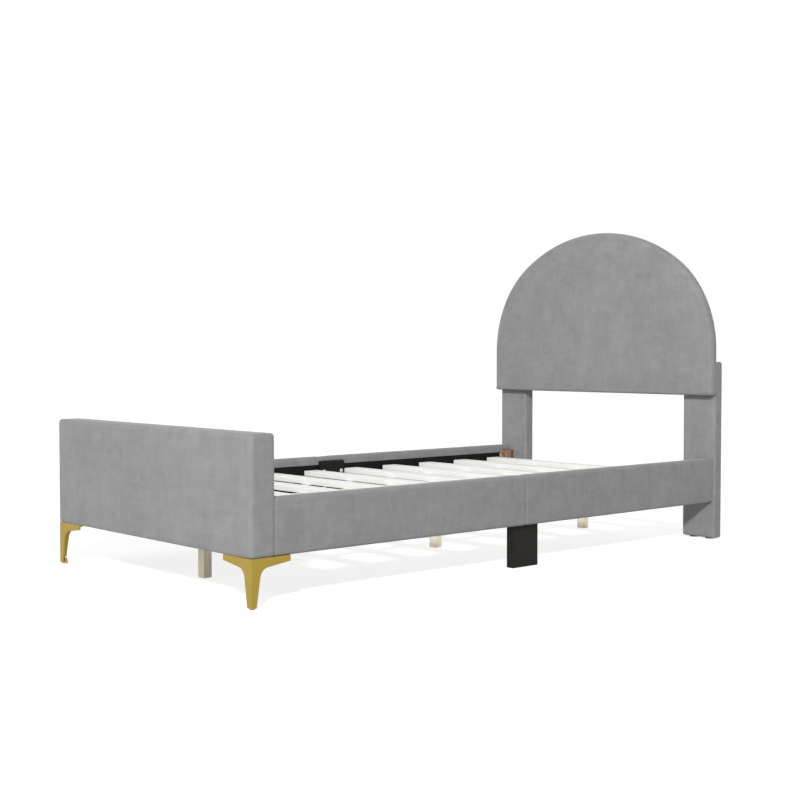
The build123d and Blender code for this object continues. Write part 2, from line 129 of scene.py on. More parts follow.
class Finish(Nodes):
    """A material for the bed's pieces."""

    sockets = {
        "specular": "Specular IOR Level",
        "sheen": "Sheen Weight",
        "sheen_roughness": "Sheen Roughness",
    }

    def __init__(self, name, **constants):
        self.material = bpy.data.materials.new(name)
        super().__init__(self.material)
        self.shader = self.tree.nodes["Principled BSDF"]
        for socket, value in constants.items():
            self.shader.inputs[self.sockets.get(socket, socket.title())].default_value = value

    def place(self, stretch=(1, 1, 1)):
        """Where a point lies on the bed, with each direction stretched."""
        point = self.node("ShaderNodeTexCoord", output="Object")
        return self.node("ShaderNodeMapping", sockets={"Vector": point, "Scale": stretch})

    def noise(self, scale, stretch=(1, 1, 1), detail=2.0, rough=0.5, distortion=0.0):
        """Soft clouds, drawn out where a direction is stretched by less than the others."""
        sockets = {
            "Vector": self.place(stretch),
            "Scale": scale,
            "Detail": detail,
            "Roughness": rough,
            "Distortion": distortion,
        }
        return self.node("ShaderNodeTexNoise", sockets=sockets)

    def bands(self, scale, direction):
        """Even waves along one direction."""
        sockets = {"Vector": self.place(), "Scale": scale}
        return self.node("ShaderNodeTexWave", {"bands_direction": direction}, sockets)

    def cells(self, scale):
        """Distance from the nearest of many scattered points."""
        sockets = {"Vector": self.place(), "Scale": scale}
        return self.node("ShaderNodeTexVoronoi", {"feature": "F1"}, sockets)

    def ramp(self, value, *stops):
        """Grey tones set at stops along a value and blended between them."""
        return self.node("ShaderNodeValToRGB", {"stops": stops}, {0: value})

    def mix(self, share, first, second):
        """Colour between two colours."""
        first, second = (c if isinstance(c, Value) else (*c, 1) for c in (first, second))
        sockets = {0: share, 6: first, 7: second}
        return self.node("ShaderNodeMix", {"data_type": "RGBA"}, sockets, output=2)

    def bump(self, height, strength, depth):
        """Relief of a depth in metres, from a height between none and one."""
        sockets = {"Height": height, "Strength": strength, "Distance": depth}
        self.set("Normal", self.node("ShaderNodeBump", sockets=sockets))

    def set(self, socket, value):
        self.tree.links.new(value.socket, self.shader.inputs[socket])


def make_velvet():
    """Short grey pile, brushed about in soft patches, with faint up-and-down and side-to-side strokes."""
    velvet = Finish("grey_velvet", roughness=0.85, specular=0.1, sheen=0.3, sheen_roughness=0.4)
    clouds = velvet.noise(5.0, detail=3.0, rough=0.55, distortion=0.6)
    patches = velvet.noise(17.0, detail=4.0, rough=0.62, distortion=0.8)
    upright = velvet.noise(36.0, stretch=(2.0, 2.0, 0.35), detail=3.0, rough=0.6, distortion=0.3)
    level = velvet.noise(36.0, stretch=(0.35, 0.35, 2.0), detail=3.0, rough=0.6, distortion=0.3)
    pile = velvet.noise(800.0, detail=2.0)
    brushed = clouds * 0.26 + patches * 0.36 + upright * 0.21 + level * 0.17
    share = velvet.ramp(brushed, (0.38, 0.0), (0.62, 1.0)) * 0.85 + pile * 0.15
    velvet.set("Base Color", velvet.mix(share, (0.210, 0.210, 0.211), (0.280, 0.280, 0.281)))
    velvet.set("Roughness", brushed * 0.2 + 0.75)
    velvet.bump(pile * 0.5 + brushed * 0.5, 0.3, 0.0008)
    return velvet.material


def make_gold():
    """Satin gold on pressed steel, with fine polishing lines up and down and faint handling marks."""
    gold = Finish("satin_gold")
    cloud = gold.noise(30.0, detail=3.0)
    lines = gold.noise(40.0, stretch=(30, 30, 1), detail=2.0)
    marks = gold.noise(9.0, detail=5.0, rough=0.7)
    gold.set("Base Color", gold.mix(cloud, (0.32, 0.224, 0.034), (0.385, 0.28, 0.049)))
    gold.set("Metallic", 0.72 + marks * 0.06)
    gold.set("Roughness", cloud * 0.1 + lines * 0.1 + marks * 0.1 + 0.26)
    gold.bump(lines * 0.7 + marks * 0.3, 0.1, 0.0003)
    return gold.material


def make_wood(name, dark, light, grain, spread=0.2, grain_scale=1):
    """Bare planed wood with its grain along one axis and a few darker growth lines."""
    wood = Finish(name, specular=0.25)
    along = [0.9 if axis == grain else 14.0 for axis in "XYZ"]
    fine = [2.5 if axis == grain else 90.0 for axis in "XYZ"]
    rings = wood.noise(3.0 * grain_scale, stretch=along, detail=4.0, rough=0.6, distortion=0.6)
    fibres = wood.noise(6.0, stretch=fine, detail=3.0, rough=0.7)
    share = wood.ramp(rings, (0.5 - spread, 0.0), (0.5 + spread, 1.0)) * 0.6 + fibres * 0.4
    wood.set("Base Color", wood.mix(share, dark, light))
    wood.set("Roughness", fibres * 0.2 + 0.5)
    wood.bump(fibres * 0.7 + rings * 0.3, 0.2, 0.0004)
    return wood.material


def make_black_board():
    """Black laminate with a faint orange-peel and rubbed edges."""
    black = Finish("black_laminate", specular=0.12)
    peel = black.noise(260.0, detail=2.0)
    rub = black.noise(14.0, detail=4.0)
    black.set("Base Color", black.mix(rub, (0.0095, 0.0085, 0.0068), (0.0165, 0.015, 0.0122)))
    black.set("Roughness", rub * 0.16 + 0.4)
    black.bump(peel, 0.1, 0.0003)
    return black.material


def make_lining():
    """Black spun-bonded cloth, pressed in a small square pattern."""
    cloth = Finish("black_lining_cloth", specular=0.1)
    pressed = cloth.bands(105.0, "Y") * cloth.bands(105.0, "Z")
    fibres = cloth.noise(300.0, detail=4.0, rough=0.7)
    cloth.set("Base Color", cloth.mix(fibres, (0.006, 0.006, 0.0065), (0.015, 0.015, 0.016)))
    cloth.set("Roughness", pressed * 0.15 + 0.8)
    cloth.bump(pressed * 0.5 + fibres * 0.5, 0.4, 0.0004)
    return cloth.material


def make_webbing():
    """White woven ribbon."""
    ribbon = Finish("white_webbing")
    weave = ribbon.bands(160.0, "Y") * 0.5 + ribbon.bands(160.0, "X") * 0.5
    soil = ribbon.noise(20.0, detail=4.0)
    colour = ribbon.mix(weave, (0.66, 0.66, 0.63), (0.82, 0.82, 0.80))
    ribbon.set("Base Color", ribbon.mix(soil * 0.4, colour, (0.60, 0.59, 0.55)))
    ribbon.set("Roughness", weave * 0.2 + 0.7)
    ribbon.bump(weave, 0.4, 0.0004)
    return ribbon.material


def make_steel():
    """Zinc-plated steel with a soft cloudy grain."""
    steel = Finish("zinc_plated_steel", metallic=1.0)
    cloud = steel.noise(180.0, detail=3.0)
    steel.set("Base Color", steel.mix(cloud, (0.62, 0.62, 0.63), (0.78, 0.78, 0.78)))
    steel.set("Roughness", cloud * 0.2 + 0.22)
    steel.bump(cloud, 0.1, 0.0002)
    return steel.material


def make_plastic(name, dark, light, rough):
    """Moulded plastic with a fine spark-eroded grain."""
    plastic = Finish(name)
    grain = plastic.noise(900.0, detail=2.0)
    tone = plastic.noise(60.0, detail=2.0)
    plastic.set("Base Color", plastic.mix(tone, dark, light))
    plastic.set("Roughness", tone * 0.2 + (rough - 0.1))
    plastic.bump(grain, 0.15, 0.0002)
    return plastic.material


def make_foam():
    """Cut upholstery foam with open cells."""
    foam = Finish("cut_foam", roughness=0.95)
    cells = foam.cells(500.0)
    foam.set("Base Color", foam.mix(cells, (0.72, 0.66, 0.48), (0.86, 0.82, 0.66)))
    foam.bump(cells, 0.6, 0.0006)
    return foam.material


velvet = make_velvet()
gold = make_gold()
steel = make_steel()
lining_cloth = make_lining()
black_board = make_black_board()
webbing = make_webbing()
foam = make_foam()
pale_plastic = make_plastic("pale_plastic", (0.60, 0.59, 0.55), (0.68, 0.67, 0.62), 0.45)
black_plastic = make_plastic("black_plastic", (0.02, 0.02, 0.02), (0.035, 0.035, 0.035), 0.5)
slat_wood = make_wood("whitish_slat_wood", (0.82, 0.82, 0.795), (0.895, 0.895, 0.88), "X", spread=0.3)
beam_wood = make_wood("pale_beam_wood", (0.68, 0.63, 0.52), (0.80, 0.77, 0.68), "Y")
leg_wood = make_wood("pale_leg_wood", (0.86, 0.77, 0.58), (0.94, 0.88, 0.72), "Z")
ledge_wood = make_wood("tan_ledge_wood", (0.34, 0.25, 0.15), (0.50, 0.38, 0.25), "Y")
block_tones = (0.045, 0.020, 0.008), (0.42, 0.27, 0.15)
block_wood = make_wood("brown_block_wood", *block_tones, "Z", spread=0.05, grain_scale=1.3)
core_tones = (0.42, 0.31, 0.19), (0.58, 0.45, 0.30)
core_wood = make_wood("core_wood", *core_tones, "Y")
panel_wood = make_wood("panel_wood", *core_tones, "X")

slot_finishes = {
    "grey_velvet": velvet,
    "foam": foam,
    "black_cloth": lining_cloth,
    "white_webbing": webbing,
    "black_board": black_board,
    "brown_wood": block_wood,
    "tan_wood": ledge_wood,
    "core_wood": core_wood,
    "pale_wood": beam_wood,
    "slat_wood": slat_wood,
    "gold_metal": gold,
    "steel": steel,
    "pale_plastic": pale_plastic,
    "black_plastic": black_plastic,
}


def finish(piece, material):
    piece.data.materials.clear()
    piece.data.materials.append(material)


for part in frame["record"]["subparts"]:
    node = part["node"]
    material = slot_finishes[part["material_slot"]]
    if node.endswith("centre_leg"):
        material = leg_wood
    if node.startswith(("footboard_", "headboard_board")) and material == core_wood:
        material = panel_wood
    finish(frame["nodes"][node], material)


# Helpers for the soft pieces
def new_object(name, mesh):
    data = bpy.data.meshes.new(name)
    mesh.to_mesh(data)
    mesh.free()
    made = bpy.data.objects.new(name, data)
    bpy.context.scene.collection.objects.link(made)
    return made


def new_piece(name, mesh):
    """A new object that belongs to the bed's own body."""
    piece = new_object(name, mesh)
    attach(piece, "bed")
    return piece


def box_mesh(low, high):
    """A box between two corners."""
    mesh = bmesh.new()
    bmesh.ops.create_cube(mesh, size=1)
    for vertex in mesh.verts:
        vertex.co = Vector(lo + (hi - lo) * (share + 0.5) for lo, hi, share in zip(low, high, vertex.co))
    return mesh


def cut(mesh, axis, place, chosen=lambda face: True):
    """Cuts the chosen faces along a plane square to an axis."""
    normal = Vector((0, 0, 0))
    normal[axis] = 1
    faces = [face for face in mesh.faces if chosen(face)]
    edges = {edge for face in faces for edge in face.edges}
    vertices = {vertex for face in faces for vertex in face.verts}
    geometry = [*vertices, *edges, *faces]
    bmesh.ops.bisect_plane(mesh, geom=geometry, plane_co=normal * place, plane_no=normal)


def cut_grid(mesh, cell):
    """Cuts a mesh into cells no larger than a size, along all three axes."""
    for axis in range(3):
        places = [vertex.co[axis] for vertex in mesh.verts]
        low, high = min(places), max(places)
        count = max(1, round((high - low) / cell))
        for step in range(1, count):
            cut(mesh, axis, low + (high - low) * step / count)


def round_edges(mesh, chosen, radius, segments):
    """Rounds the edges for which chosen is true."""
    edges = [edge for edge in mesh.edges if chosen(edge)]
    bmesh.ops.bevel(mesh, geom=edges, offset=radius, segments=segments, profile=0.5, affect="EDGES")


def remove_faces(mesh, chosen):
    bmesh.ops.delete(mesh, geom=[face for face in mesh.faces if chosen(face)], context="FACES")


def dome(share, sharpness):
    """One in the middle of a span and nothing at its ends, where share runs from -1 to 1."""
    return max(1 - abs(share) ** sharpness, 0)


def ease(share):
    """Nothing up to no share, one from a whole share on, and smooth between."""
    share = max(0, min(1, share))
    return share * share * (3 - 2 * share)


def shares(point, low, high):
    """Where a point lies between two corners, each direction from -1 to 1."""
    return [max(-1, min(1, 2 * (p - lo) / (hi - lo) - 1)) for p, lo, hi in zip(point, low, high)]


def ruffle(mesh, seed):
    """Lets the velvet lie a little unevenly, always outwards."""
    amount = 0.5 * MM
    size = 70 * MM
    shift = Vector((seed * 7.3, seed * 3.1, seed * 5.7))
    mesh.normal_update()
    for vertex in mesh.verts:
        vertex.co += vertex.normal * amount * (0.5 + 0.5 * noise.noise(vertex.co / size + shift))


def apply_modifier(piece, modifier):
    with bpy.context.temp_override(object=piece, active_object=piece, selected_objects=[piece]):
        bpy.ops.object.modifier_apply(modifier=modifier.name)


def blow_up(piece, held, cap):
    """Stuffs a closed pad by cloth simulation. Where held is true a point stays; cap limits the rest."""
    frames = 20
    shape = piece.copy()
    shape.data = piece.data.copy()
    bpy.context.scene.collection.objects.link(shape)
    remesh = piece.modifiers.new("voxels", "REMESH")
    remesh.mode = "VOXEL"
    remesh.voxel_size = 8 * MM
    apply_modifier(piece, remesh)
    wrap = piece.modifiers.new("onto the shape", "SHRINKWRAP")
    wrap.target = shape
    apply_modifier(piece, wrap)
    bpy.data.objects.remove(shape)
    before = [vertex.co.copy() for vertex in piece.data.vertices]
    group = piece.vertex_groups.new(name="held")
    group.add([index for index, point in enumerate(before) if held(point)], 1.0, "REPLACE")
    cloth = piece.modifiers.new("cloth", "CLOTH")
    cloth.settings.quality = 5
    cloth.settings.vertex_group_mass = "held"
    cloth.settings.use_pressure = True
    cloth.settings.uniform_pressure_force = 12.0
    cloth.settings.effector_weights.gravity = 0
    cloth.point_cache.frame_start = 1
    cloth.point_cache.frame_end = frames
    for number in range(1, frames + 1):
        bpy.context.scene.frame_set(number)
    stuffed = piece.evaluated_get(bpy.context.evaluated_depsgraph_get()).to_mesh()
    after = [vertex.co.copy() for vertex in stuffed.vertices]
    piece.modifiers.remove(cloth)
    piece.vertex_groups.clear()
    bpy.context.scene.frame_set(1)
    for vertex, old, new in zip(piece.data.vertices, before, after):
        move = new - old
        reach = cap(old)
        if move.length > reach:
            move = move * (reach / move.length)
        vertex.co = old + move


def smooth(piece):
    for polygon in piece.data.polygons:
        polygon.use_smooth = True


def add_wall(piece, thickness):
    """Gives an open skin its thickness, inwards, and shades it smooth."""
    wall = piece.modifiers.new("wall", "SOLIDIFY")
    wall.thickness = thickness
    wall.offset = -1
    apply_modifier(piece, wall)
    smooth(piece)


def thicken(piece, thickness):
    """Gives an open skin its thickness, and evens the shading round its edges."""
    add_wall(piece, thickness)
    even = piece.modifiers.new("even", "WEIGHTED_NORMAL")
    even.weight = 60
    apply_modifier(piece, even)


def upholster(piece, *nodes):
    """Finishes a velvet skin that stands for the CAD nodes."""
    smooth(piece)
    finish(piece, velvet)
    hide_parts(*nodes)


def lay_sheet(piece, material, node):
    """Finishes a sheet that stands for a CAD node."""
    finish(piece, material)
    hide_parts(node)


def edit(piece):
    """Opens a finished mesh for cutting; close_edit puts it back."""
    mesh = bmesh.new()
    mesh.from_mesh(piece.data)
    return mesh


def close_edit(piece, mesh):
    mesh.to_mesh(piece.data)
    mesh.free()


# Footboard
def make_footboard():
    """Velvet over foam: rounded at the sides and top, turned in under the bottom."""
    radius = 10 * MM
    bottom_radius = 7 * MM
    lap = 25 * MM
    sag = 1.5 * MM
    swell = Vector((2.5 * MM, 1.5 * MM, 2.4 * MM))
    bottom = footboard_low.z
    under = bottom + 3 * MM
    inside = [(footboard_low[axis] + lap, footboard_high[axis] - lap) for axis in (0, 1)]
    low = Vector((footboard_low.x - swell.x, footboard_low.y - swell.y, bottom))
    high = footboard_high + swell
    mesh = box_mesh(low, high)
    round_edges(mesh, lambda edge: any(v.co.z > bottom + radius for v in edge.verts), radius, 6)
    round_edges(mesh, lambda edge: all(v.co.z < bottom + 0.1 * MM for v in edge.verts), bottom_radius, 5)
    piece = new_piece("footboard_upholstery", mesh)
    rim = 6 * MM
    slope = 50 * MM
    fullness = 3 * MM

    def depth(point):
        return min(high.x - abs(point.x), point.z - low.z, high.z - point.z)

    blow_up(
        piece,
        held=lambda point: depth(point) < rim,
        cap=lambda point: fullness * ease((depth(point) - rim) / slope),
    )
    mesh = edit(piece)

    def underneath(face):
        return face.calc_center_median().z < under

    def opened(face):
        middle = face.calc_center_median()
        return middle.z < under and all(inside[axis][0] < middle[axis] < inside[axis][1] for axis in (0, 1))

    for axis in (0, 1):
        for place in inside[axis]:
            cut(mesh, axis, place, underneath)
    remove_faces(mesh, opened)
    for vertex in mesh.verts:
        if vertex.co.z < under:
            across = shares(vertex.co, low, high)[0]
            vertex.co.z -= sag * dome(across, 12)
    close_edit(piece, mesh)
    thicken(piece, VELVET_THICKNESS)
    upholster(piece, "footboard_cover", "footboard_foam")


# Side rails
def make_rail_velvet(side_name, half):
    """Velvet round a half rail, its end faces in the seam black as painted shade, cut away for the lining,
    middle leg and blocks.
    """
    side = SIDES[side_name]
    name = f"{side_name}_{half}_rail"
    seam_gap = 0.6 * MM
    gap = 0.5 * MM
    block_gap = 10 * MM
    crown = 2.5 * MM
    belly = 1.5 * MM
    below_floor = -1.0
    low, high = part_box(f"{name}_cover")
    low.y += seam_gap
    high.y -= seam_gap
    inner_lap = rail_inner + 3 * MM
    pocket_floor = mid_leg_high.x
    pockets = [(mid_leg_low.y - gap, mid_leg_high.y + gap, below_floor, mid_leg_high.z + gap)]
    for corner_low, corner_high in ((block_low, block_high), (foot_block_low, foot_block_high)):
        along = (corner_low.y - block_gap, corner_high.y + block_gap)
        pockets.append((*along, corner_low.z - gap, corner_high.z + gap))

    def lengthwise(edge):
        return abs(edge.verts[0].co.y - edge.verts[1].co.y) > 0.1

    def at_an_end(edge):
        return any(all(abs(v.co.y - end) < 1e-6 for v in edge.verts) for end in (low.y, high.y))

    def inwards(face):
        return abs(face.calc_center_median().x) < pocket_floor + 4 * MM

    def opened(face):
        middle = face.calc_center_median()
        across = abs(middle.x)
        if across < inner_lap and lining_low.z < middle.z < lining_high.z:
            return True
        return across < pocket_floor and any(
            start < middle.y < end and bottom < middle.z < top for start, end, bottom, top in pockets
        )

    mesh = box_mesh(low, high)
    round_edges(mesh, lengthwise, 9 * MM, 6)
    round_edges(mesh, at_an_end, 5 * MM, 4)
    cut_grid(mesh, 12 * MM)
    for place in (lining_low.z, lining_high.z):
        cut(mesh, 2, place, inwards)
    for start, end, bottom, top in pockets:
        for axis, place in ((1, start), (1, end), (2, bottom), (2, top)):
            cut(mesh, axis, place, inwards)
    for across in (pocket_floor, inner_lap):
        cut(mesh, 0, side * across, inwards)
    remove_faces(mesh, opened)
    for vertex in mesh.verts:
        across, along, up = shares(vertex.co, low, high)
        if up > 0.8:
            vertex.co.z += crown * dome(across, 3) * dome(along, 30)
        if across * side > 0.8:
            vertex.co.x += side * belly * dome(up, 3) * dome(along, 30)
    ruffle(mesh, 2 + side + HALVES.index(half) * 4)
    piece = new_piece(f"{name}_velvet", mesh)
    thicken(piece, WRAP_THICKNESS)
    upholster(piece, f"{name}_cover")
    # The end faces in the seam between the halves take the black cloth: painted shade that draws the seam's
    # dark line.
    piece.data.materials.append(lining_cloth)
    for polygon in piece.data.polygons:
        if min(abs(polygon.center.y - low.y), abs(polygon.center.y - high.y)) < 0.3 * MM:
            polygon.material_index = 1


# Posts
def drill_hole(piece, place, radius):
    """A round hole along Y through a wall."""
    drill = bmesh.new()
    sizes = {"radius1": radius, "radius2": radius, "depth": 20 * MM}
    bmesh.ops.create_cone(drill, cap_ends=True, segments=32, **sizes)
    for vertex in drill.verts:
        x, y, z = vertex.co
        vertex.co = Vector((place[0] + x, place[1] + z, place[2] + y))
    cutter = new_object("drill", drill)
    hole = piece.modifiers.new("hole", "BOOLEAN")
    hole.operation = "DIFFERENCE"
    hole.object = cutter
    apply_modifier(piece, hole)
    bpy.data.objects.remove(cutter)


def make_post_velvet(side_name):
    """Velvet sleeve of a post, closed at the top, with holes at the back for the headboard's bolts."""
    radius = 9 * MM
    bottom_radius = 5 * MM
    bolt_head = 7.5 * MM
    swell = (2.8 * MM, 2.6 * MM)
    lift = 1.5 * MM
    lift_height = 30 * MM
    low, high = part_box(f"{side_name}_post_cover")
    bolts_low, bolts_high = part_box("headboard_bolts")
    mesh = box_mesh(low, high)
    round_edges(mesh, lambda edge: any(v.co.z > low.z + radius for v in edge.verts), radius, 6)
    round_edges(mesh, lambda edge: all(v.co.z < low.z + 0.1 * MM for v in edge.verts), bottom_radius, 4)
    remove_faces(mesh, lambda face: face.calc_center_median().z < low.z + 1e-6)
    cut_grid(mesh, 12 * MM)
    for vertex in mesh.verts:
        across, along, up = shares(vertex.co, low, high)
        vertex.co.x += swell[0] * across
        vertex.co.y += swell[1] * min(along, 0.2)
        vertex.co.z += lift * max(0, 1 - (vertex.co.z - low.z) / lift_height)
    ruffle(mesh, 11 + SIDES[side_name])
    piece = new_piece(f"{side_name}_post_velvet", mesh)
    thicken(piece, WRAP_THICKNESS)
    for level in (bolts_low.z + bolt_head, bolts_high.z - bolt_head):
        drill_hole(piece, ((low.x + high.x) / 2, high.y, level), bolt_head + 0.5 * MM)
    upholster(piece, f"{side_name}_post_cover")


# Staples
def make_staples(name, facing, places):
    """One staple is modelled flat, then copied to each place and turned about its facing axis."""
    bpy.ops.object.select_all(action="DESELECT")
    bpy.ops.mesh.primitive_cube_add(size=1)
    staple = bpy.context.active_object
    bpy.ops.object.mode_set(mode="EDIT")
    bpy.ops.mesh.select_all(action="SELECT")
    bpy.ops.transform.resize(value=(10 * MM, 1.2 * MM, 0.6 * MM))
    bpy.ops.mesh.bevel(offset=0.25 * MM, segments=2)
    bpy.ops.object.mode_set(mode="OBJECT")
    turned = {"X": (0, math.pi / 2, 0), "Y": (math.pi / 2, 0, 0), "Z": (0, 0, 0)}[facing]
    flat = Euler(turned).to_matrix().to_4x4()
    copies = []
    for place, angle in places:
        copy = staple.copy()
        copy.data = staple.data.copy()
        bpy.context.scene.collection.objects.link(copy)
        spin = Matrix.Rotation(-angle if facing == "Y" else angle, 4, facing)
        copy.data.transform(Matrix.Translation(place) @ spin @ flat)
        copies.append(copy)
    bpy.data.objects.remove(staple)
    for copy in copies:
        copy.select_set(True)
    bpy.context.view_layer.objects.active = copies[0]
    bpy.ops.object.join()
    staples = bpy.context.active_object
    staples.name = name
    finish(staples, steel)
    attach(staples, "bed")


# Headboard
class Arch:
    """The headboard's outline: straight sides and bottom, two shoulders and a crown.

    The crown rises above the straight sides by a share of half the width, and the radius of the shoulders is
    a share of that rise. The swell widens the sides, and the fullness fills out the arch at its shoulders.
    """

    rise_share = 0.8537
    shoulder_share = 0.911
    corner = 10 * MM
    fullness = 3.5 * MM
    swell = 5.5 * MM

    def __init__(self):
        self.half = panel_high.x + self.swell
        self.bottom = panel_low.z
        self.rise = self.rise_share * panel_high.x
        self.spring = panel_high.z - self.rise
        self.shoulder = self.shoulder_share * self.rise
        squares = self.half**2 - 2 * self.half * self.shoulder + self.rise**2
        self.crown = squares / (2 * (self.rise - self.shoulder))
        self.crown_place = self.spring + self.rise - self.crown
        self.shoulder_place = self.half - self.shoulder
        self.turn = math.atan2(self.crown - self.rise, self.shoulder_place)

    def points(self, inset, steps=14):
        """Outline drawn in by an inset, from the bottom left round, always with as many points."""
        found = []

        def arc(centre_x, centre_z, radius, start, end, count, full=0.0):
            for step in range(count + 1):
                angle = start + (end - start) * step / count
                reach = radius + full * math.sin(2 * angle) ** 2
                found.append((centre_x + reach * math.cos(angle), centre_z + reach * math.sin(angle)))

        corner = max(self.corner - inset, 0)
        edge = self.half - inset - corner
        low = self.bottom + inset + corner
        place, shoulder, full = self.shoulder_place, self.shoulder - inset, self.fullness
        for step in range(steps):
            found.append((-edge + 2 * edge * step / steps, low - corner))
        arc(edge, low, corner, -math.pi / 2, 0, 6)
        for step in range(1, 6):
            found.append((self.half - inset, low + (self.spring - low) * step / 6))
        arc(place, self.spring, shoulder, 0, self.turn, 2 * steps, full)
        arc(0, self.crown_place, self.crown - inset, self.turn, math.pi - self.turn, 3 * steps, full)
        arc(-place, self.spring, shoulder, math.pi - self.turn, math.pi, 2 * steps, full)
        for step in range(1, 6):
            found.append((inset - self.half, self.spring + (low - self.spring) * step / 6))
        arc(-edge, low, corner, math.pi, 1.5 * math.pi, 6)
        return found

    def depth(self, x, z):
        """How far inside the outline a point lies."""
        x = abs(x)
        if z < self.spring:
            return min(self.half - x, z - self.bottom)
        if math.atan2(z - self.spring, x - self.shoulder_place) < self.turn:
            inside = self.shoulder - math.hypot(x - self.shoulder_place, z - self.spring)
        else:
            inside = self.crown - math.hypot(x, z - self.crown_place)
        return min(inside, z - self.bottom)


def headboard_mesh(arch):
    """Closed pad with a soft front edge and a firmer back edge."""
    front, back = panel_low.y - 4 * MM, panel_high.y
    front_radius = 20 * MM
    bottom_radius = 8 * MM
    back_radius = 7 * MM
    mesh = bmesh.new()
    loops = []
    for step in range(4):
        angle = math.pi / 2 * step / 3
        y = back - back_radius * (1 - math.cos(angle))
        outline = arch.points(back_radius * (1 - math.sin(angle)))
        loops.append([mesh.verts.new((x, y, z)) for x, z in outline])
    edge_points = list(zip(arch.points(0), arch.points(front_radius)))
    for step in range(9):
        angle = math.pi / 2 * step / 8
        loop = []
        for (outer_x, outer_z), (inner_x, inner_z) in edge_points:
            rise = ease((outer_z - arch.bottom) / arch.corner)
            radius = bottom_radius + (front_radius - bottom_radius) * rise
            share = radius / front_radius * (1 - math.cos(angle))
            x = outer_x + (inner_x - outer_x) * share
            z = outer_z + (inner_z - outer_z) * share
            loop.append(mesh.verts.new((x, front + radius * (1 - math.sin(angle)), z)))
        loops.append(loop)
    count = len(loops[0])
    for inner, outer in zip(loops, loops[1:]):
        for step in range(count):
            after = (step + 1) % count
            mesh.faces.new((inner[step], inner[after], outer[after], outer[step]))
    mesh.faces.new(loops[-1])
    mesh.faces.new(list(reversed(loops[0])))
    bmesh.ops.remove_doubles(mesh, verts=mesh.verts, dist=1e-5)
    bmesh.ops.recalc_face_normals(mesh, faces=mesh.faces)
    return mesh


def make_headboard():
    """Velvet over foam: a soft front edge, a band round the side and a lap turned onto the back."""
    arch = Arch()
    back = panel_high.y
    lap = 40 * MM
    cloth_overlap = 8 * MM
    pressed = lap - 12 * MM
    press_in = 0.7 * MM
    piece = new_piece("headboard_upholstery", headboard_mesh(arch))
    firm = panel_low.y + 16 * MM
    rim = 3 * MM
    slope = 90 * MM
    fullness = 6 * MM

    def depth(point):
        return arch.depth(point.x, point.z)

    blow_up(
        piece,
        held=lambda point: point.y > firm or depth(point) < rim,
        cap=lambda point: fullness * ease(depth(point) / slope),
    )

    def opened(face):
        middle = face.calc_center_median()
        return middle.y > back - 2 * MM and arch.depth(middle.x, middle.z) > lap

    mesh = edit(piece)
    for vertex in mesh.verts:
        if vertex.co.y > back - 0.5 * MM and arch.depth(vertex.co.x, vertex.co.z) > pressed:
            vertex.co.y -= press_in
    remove_faces(mesh, opened)
    close_edit(piece, mesh)
    thicken(piece, VELVET_THICKNESS)
    upholster(piece, "headboard_cover", "headboard_foam")
    make_back_cloth(arch, lap - cloth_overlap)


def make_back_cloth(arch, inset):
    """Black cloth over the headboard's back, stapled over the velvet's lap."""
    level = panel_high.y - 0.05 * MM
    sway = 1.6 * MM
    slope = 120 * MM
    post_gap = 20 * MM
    staple_gap = 20 * MM
    mesh = bmesh.new()
    corners = [mesh.verts.new((x, level, z)) for x, z in reversed(arch.points(inset))]
    area = mesh.faces.new(corners).calc_area()
    cut_grid(mesh, 22 * MM)
    for vertex in mesh.verts:
        slack = ease((arch.depth(vertex.co.x, vertex.co.z) - inset) / slope)
        vertex.co.y += slack * sway * noise.noise(vertex.co * 9)
    piece = new_piece("headboard_back_black_cloth", mesh)
    thicken(piece, 0.5 * MM)
    lay_sheet(piece, lining_cloth, "headboard_back_cloth")
    places = []
    points = arch.points(inset + 5 * MM, steps=7)
    for (x, z), (next_x, next_z) in zip(points, points[1:]):
        far_enough = math.hypot(next_x - x, next_z - z) > staple_gap
        at_a_post = abs(x) > post_low.x - post_gap and z < post_high.z + post_gap
        if far_enough and not at_a_post:
            places.append(((x, level, z), math.atan2(next_z - z, next_x - x)))
    make_staples("headboard_staples", "Y", places)


make_footboard()
for side_name in SIDES:
    make_post_velvet(side_name)
    for half in HALVES:
        make_rail_velvet(side_name, half)
make_headboard()


# Black cloth and ribbons
def lining_strip(name, corner, along, across, seed):
    """A thin sheet from one corner, with a faint sway square to it."""
    cell = 12 * MM
    sway = 0.8 * MM
    mesh = bmesh.new()
    normal = along.cross(across).normalized()
    counts = [max(1, round(run.length / cell)) for run in (along, across)]
    rows = []
    for step_across in range(counts[1] + 1):
        row = []
        for step_along in range(counts[0] + 1):
            share_along, share_across = step_along / counts[0], step_across / counts[1]
            point = corner + along * share_along + across * share_across
            free = dome(2 * share_along - 1, 8) * dome(2 * share_across - 1, 4)
            lift = sway * free * (0.5 + 0.5 * noise.noise(point * 12 + Vector((seed, 0, 0))))
            row.append(mesh.verts.new(point + normal * lift))
        rows.append(row)
    for low_row, high_row in zip(rows, rows[1:]):
        for step in range(counts[0]):
            mesh.faces.new((low_row[step], low_row[step + 1], high_row[step + 1], high_row[step]))
    piece = new_piece(name, mesh)
    add_wall(piece, 0.8 * MM)
    return piece


